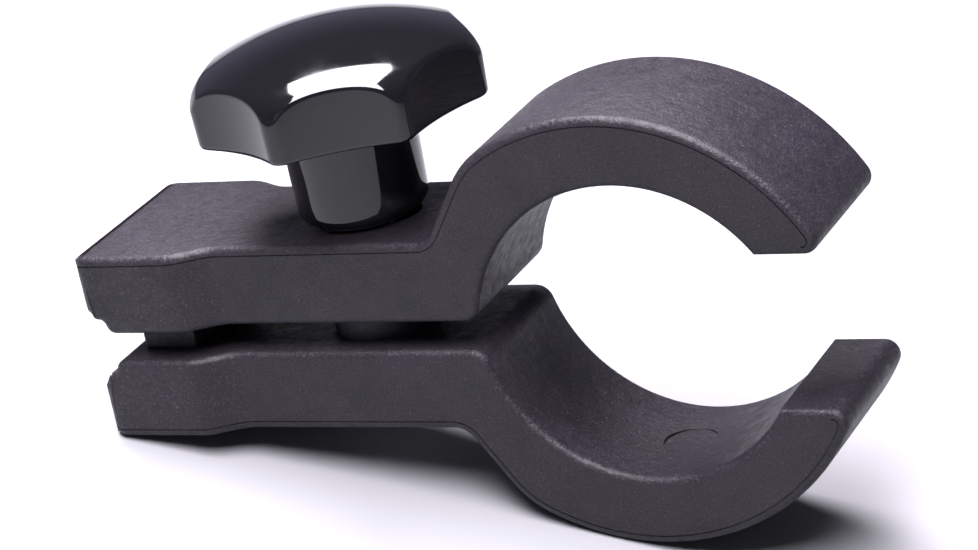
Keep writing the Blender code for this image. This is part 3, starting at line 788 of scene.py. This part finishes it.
def nylon_material():
    """Black glass-filled nylon: leathery grain, cloudy wear and pale flecks of filler."""
    material, shader = new_material("black_nylon", (0.024, 0.022, 0.028), 0.5)
    shader.inputs["Specular IOR Level"].default_value = 0.3
    tree = material.node_tree
    clouds = noise_texture(tree, size_mm=11.0, detail=5.0, roughness=0.65)
    leather = noise_texture(tree, size_mm=1.8, detail=5.0, roughness=0.65)
    grain = noise_texture(tree, size_mm=0.32, detail=3.0, roughness=0.65)
    flecks = ramp(tree, grain, [(0.40, (0.011, 0.0098, 0.0132)), (0.60, (0.019, 0.017, 0.0228)),
                                (0.74, (0.075, 0.068, 0.083))])
    wear = ramp(tree, clouds, [(0.35, (0.70, 0.70, 0.70)), (0.65, (1.0, 0.97, 1.0))])
    mix = tree.nodes.new("ShaderNodeMix")
    mix.data_type = "RGBA"
    mix.blend_type = "MULTIPLY"
    mix.inputs["Factor"].default_value = 1.0
    tree.links.new(flecks, mix.inputs["A"])
    tree.links.new(wear, mix.inputs["B"])
    tree.links.new(mix.outputs["Result"], shader.inputs["Base Color"])
    tree.links.new(remap(tree, leather, (0.3, 0.7), (0.36, 0.60)), shader.inputs["Roughness"])
    add_bump(tree, shader, [(clouds, 0.8, 0.4), (leather, 0.35, 0.6), (grain, 0.10, 0.8)])
    return material


def phenolic_material():
    """Gloss black phenolic with a faint polish and a slight waviness of its moulded skin."""
    material, shader = new_material("black_phenolic", (0.004, 0.004, 0.005), 0.06)
    tree = material.node_tree
    smudge = noise_texture(tree, size_mm=6.0, detail=4.0, roughness=0.6)
    tree.links.new(remap(tree, smudge, (0.4, 0.75), (0.04, 0.13)), shader.inputs["Roughness"])
    ripple = noise_texture(tree, size_mm=4.0, detail=1.0, roughness=0.4)
    add_bump(tree, shader, [(ripple, 0.02, 0.12)])
    return material


def metal_material(name, colour, roughness):
    """Metal with a fine smear that varies its colour, its gloss and its surface."""
    material, shader = new_material(name, colour, roughness, 1.0)
    tree = material.node_tree
    smear = noise_texture(tree, size_mm=0.8, detail=4.0, roughness=0.7)
    gloss = remap(tree, smear, (0.3, 0.7), (roughness - 0.08, roughness + 0.1))
    tree.links.new(gloss, shader.inputs["Roughness"])
    dull = tuple(channel * 0.8 for channel in colour)
    tree.links.new(ramp(tree, smear, [(0.3, dull), (0.7, colour)]), shader.inputs["Base Color"])
    add_bump(tree, shader, [(smear, 0.02, 0.2)])
    return material


# ---------------------------------------------------------------- studio

def make_camera():
    data = bpy.data.cameras.new("camera")
    data.sensor_width = CAMERA_SENSOR
    data.lens = CAMERA_LENS
    data.clip_start = 0.01
    camera = bpy.data.objects.new("camera", data)
    bpy.context.scene.collection.objects.link(camera)
    turn = (Matrix.Rotation(CAMERA_AZIMUTH, 4, "Z")
            @ Matrix.Rotation(math.pi / 2 - CAMERA_ELEVATION, 4, "X")
            @ Matrix.Rotation(-CAMERA_ROLL, 4, "Z"))
    camera.matrix_world = CLAMP_MATRIX @ Matrix.Translation(CAMERA_PLACE * MM) @ turn
    bpy.context.scene.camera = camera


def make_light(name, place_m, size_m, power):
    """A rectangular soft light that faces the clamp."""
    data = bpy.data.lights.new(name, "AREA")
    data.shape = "RECTANGLE"
    data.size = size_m[0]
    data.size_y = size_m[1]
    data.energy = power
    data.color = LAMP_TINT
    light = bpy.data.objects.new(name, data)
    bpy.context.scene.collection.objects.link(light)
    light.location = place_m
    to_subject = Vector(SUBJECT_M) - Vector(place_m)
    light.rotation_euler = to_subject.to_track_quat("-Z", "Y").to_euler()


def make_floor():
    shape = bmesh.new()
    bmesh.ops.create_circle(shape, cap_ends=True, segments=ROUND_SIDES, radius=FLOOR_RADIUS_M)
    floor = new_object("floor", shape)
    material, shader = new_material("pale_floor", (0.27, 0.27, 0.28), 0.6)
    tree = material.node_tree
    mottle = noise_texture(tree, size_mm=40.0, detail=2.0, roughness=0.5)
    tree.links.new(ramp(tree, mottle, [(0.3, (0.25, 0.255, 0.265)), (0.7, (0.265, 0.27, 0.28))]),
                   shader.inputs["Base Color"])
    floor.data.materials.append(material)


def make_world():
    """Grey surroundings with a little lilac, lightest at the horizon and darker higher up."""
    world = bpy.data.worlds.new("studio")
    world.use_nodes = True
    tree = world.node_tree
    background = tree.nodes["Background"]
    background.inputs["Strength"].default_value = 1.0
    place_node = tree.nodes.new("ShaderNodeTexCoord")
    split = tree.nodes.new("ShaderNodeSeparateXYZ")
    tree.links.new(place_node.outputs["Generated"], split.inputs["Vector"])
    shade = ramp(tree, split.outputs["Z"], [(0.0, (0.20, 0.18, 0.26)), (0.15, (0.17, 0.155, 0.22)),
                                            (0.45, (0.05, 0.05, 0.06)), (1.0, (0.10, 0.10, 0.11))])
    tree.links.new(shade, background.inputs["Color"])
    bpy.context.scene.world = world


def main():
    bpy.context.scene.view_settings.view_transform = "Standard"
    nylon = nylon_material()
    phenolic = phenolic_material()
    zinc = metal_material("zinc_plate", (0.60, 0.60, 0.61), 0.3)
    # painted shade: the washer is a guessed part, and its near-black colour stands in for the shade in
    # the gap under the knob's hub
    washer_shade_steel = metal_material("washer_steel_painted_shade", (0.05, 0.05, 0.055), 0.4)
    spring_steel = metal_material("spring_wire", (0.30, 0.30, 0.31), 0.35)
    brass = metal_material("machined_brass", (0.72, 0.52, 0.22), 0.28)

    make_upper_jaw(nylon)
    make_lower_jaw(nylon)
    make_shank(zinc)
    make_bolt_head(zinc)
    make_washer(washer_shade_steel)
    make_insert(brass)
    make_spring(spring_steel)
    make_knob(phenolic)

    make_floor()
    make_world()
    make_light("overhead", place_m=(-0.14, -0.08, 0.80), size_m=(1.3, 0.42), power=50)
    make_light("camera_soft", place_m=(-0.05, -1.0, 0.45), size_m=(0.5, 0.35), power=0.25)
    make_camera()


main()
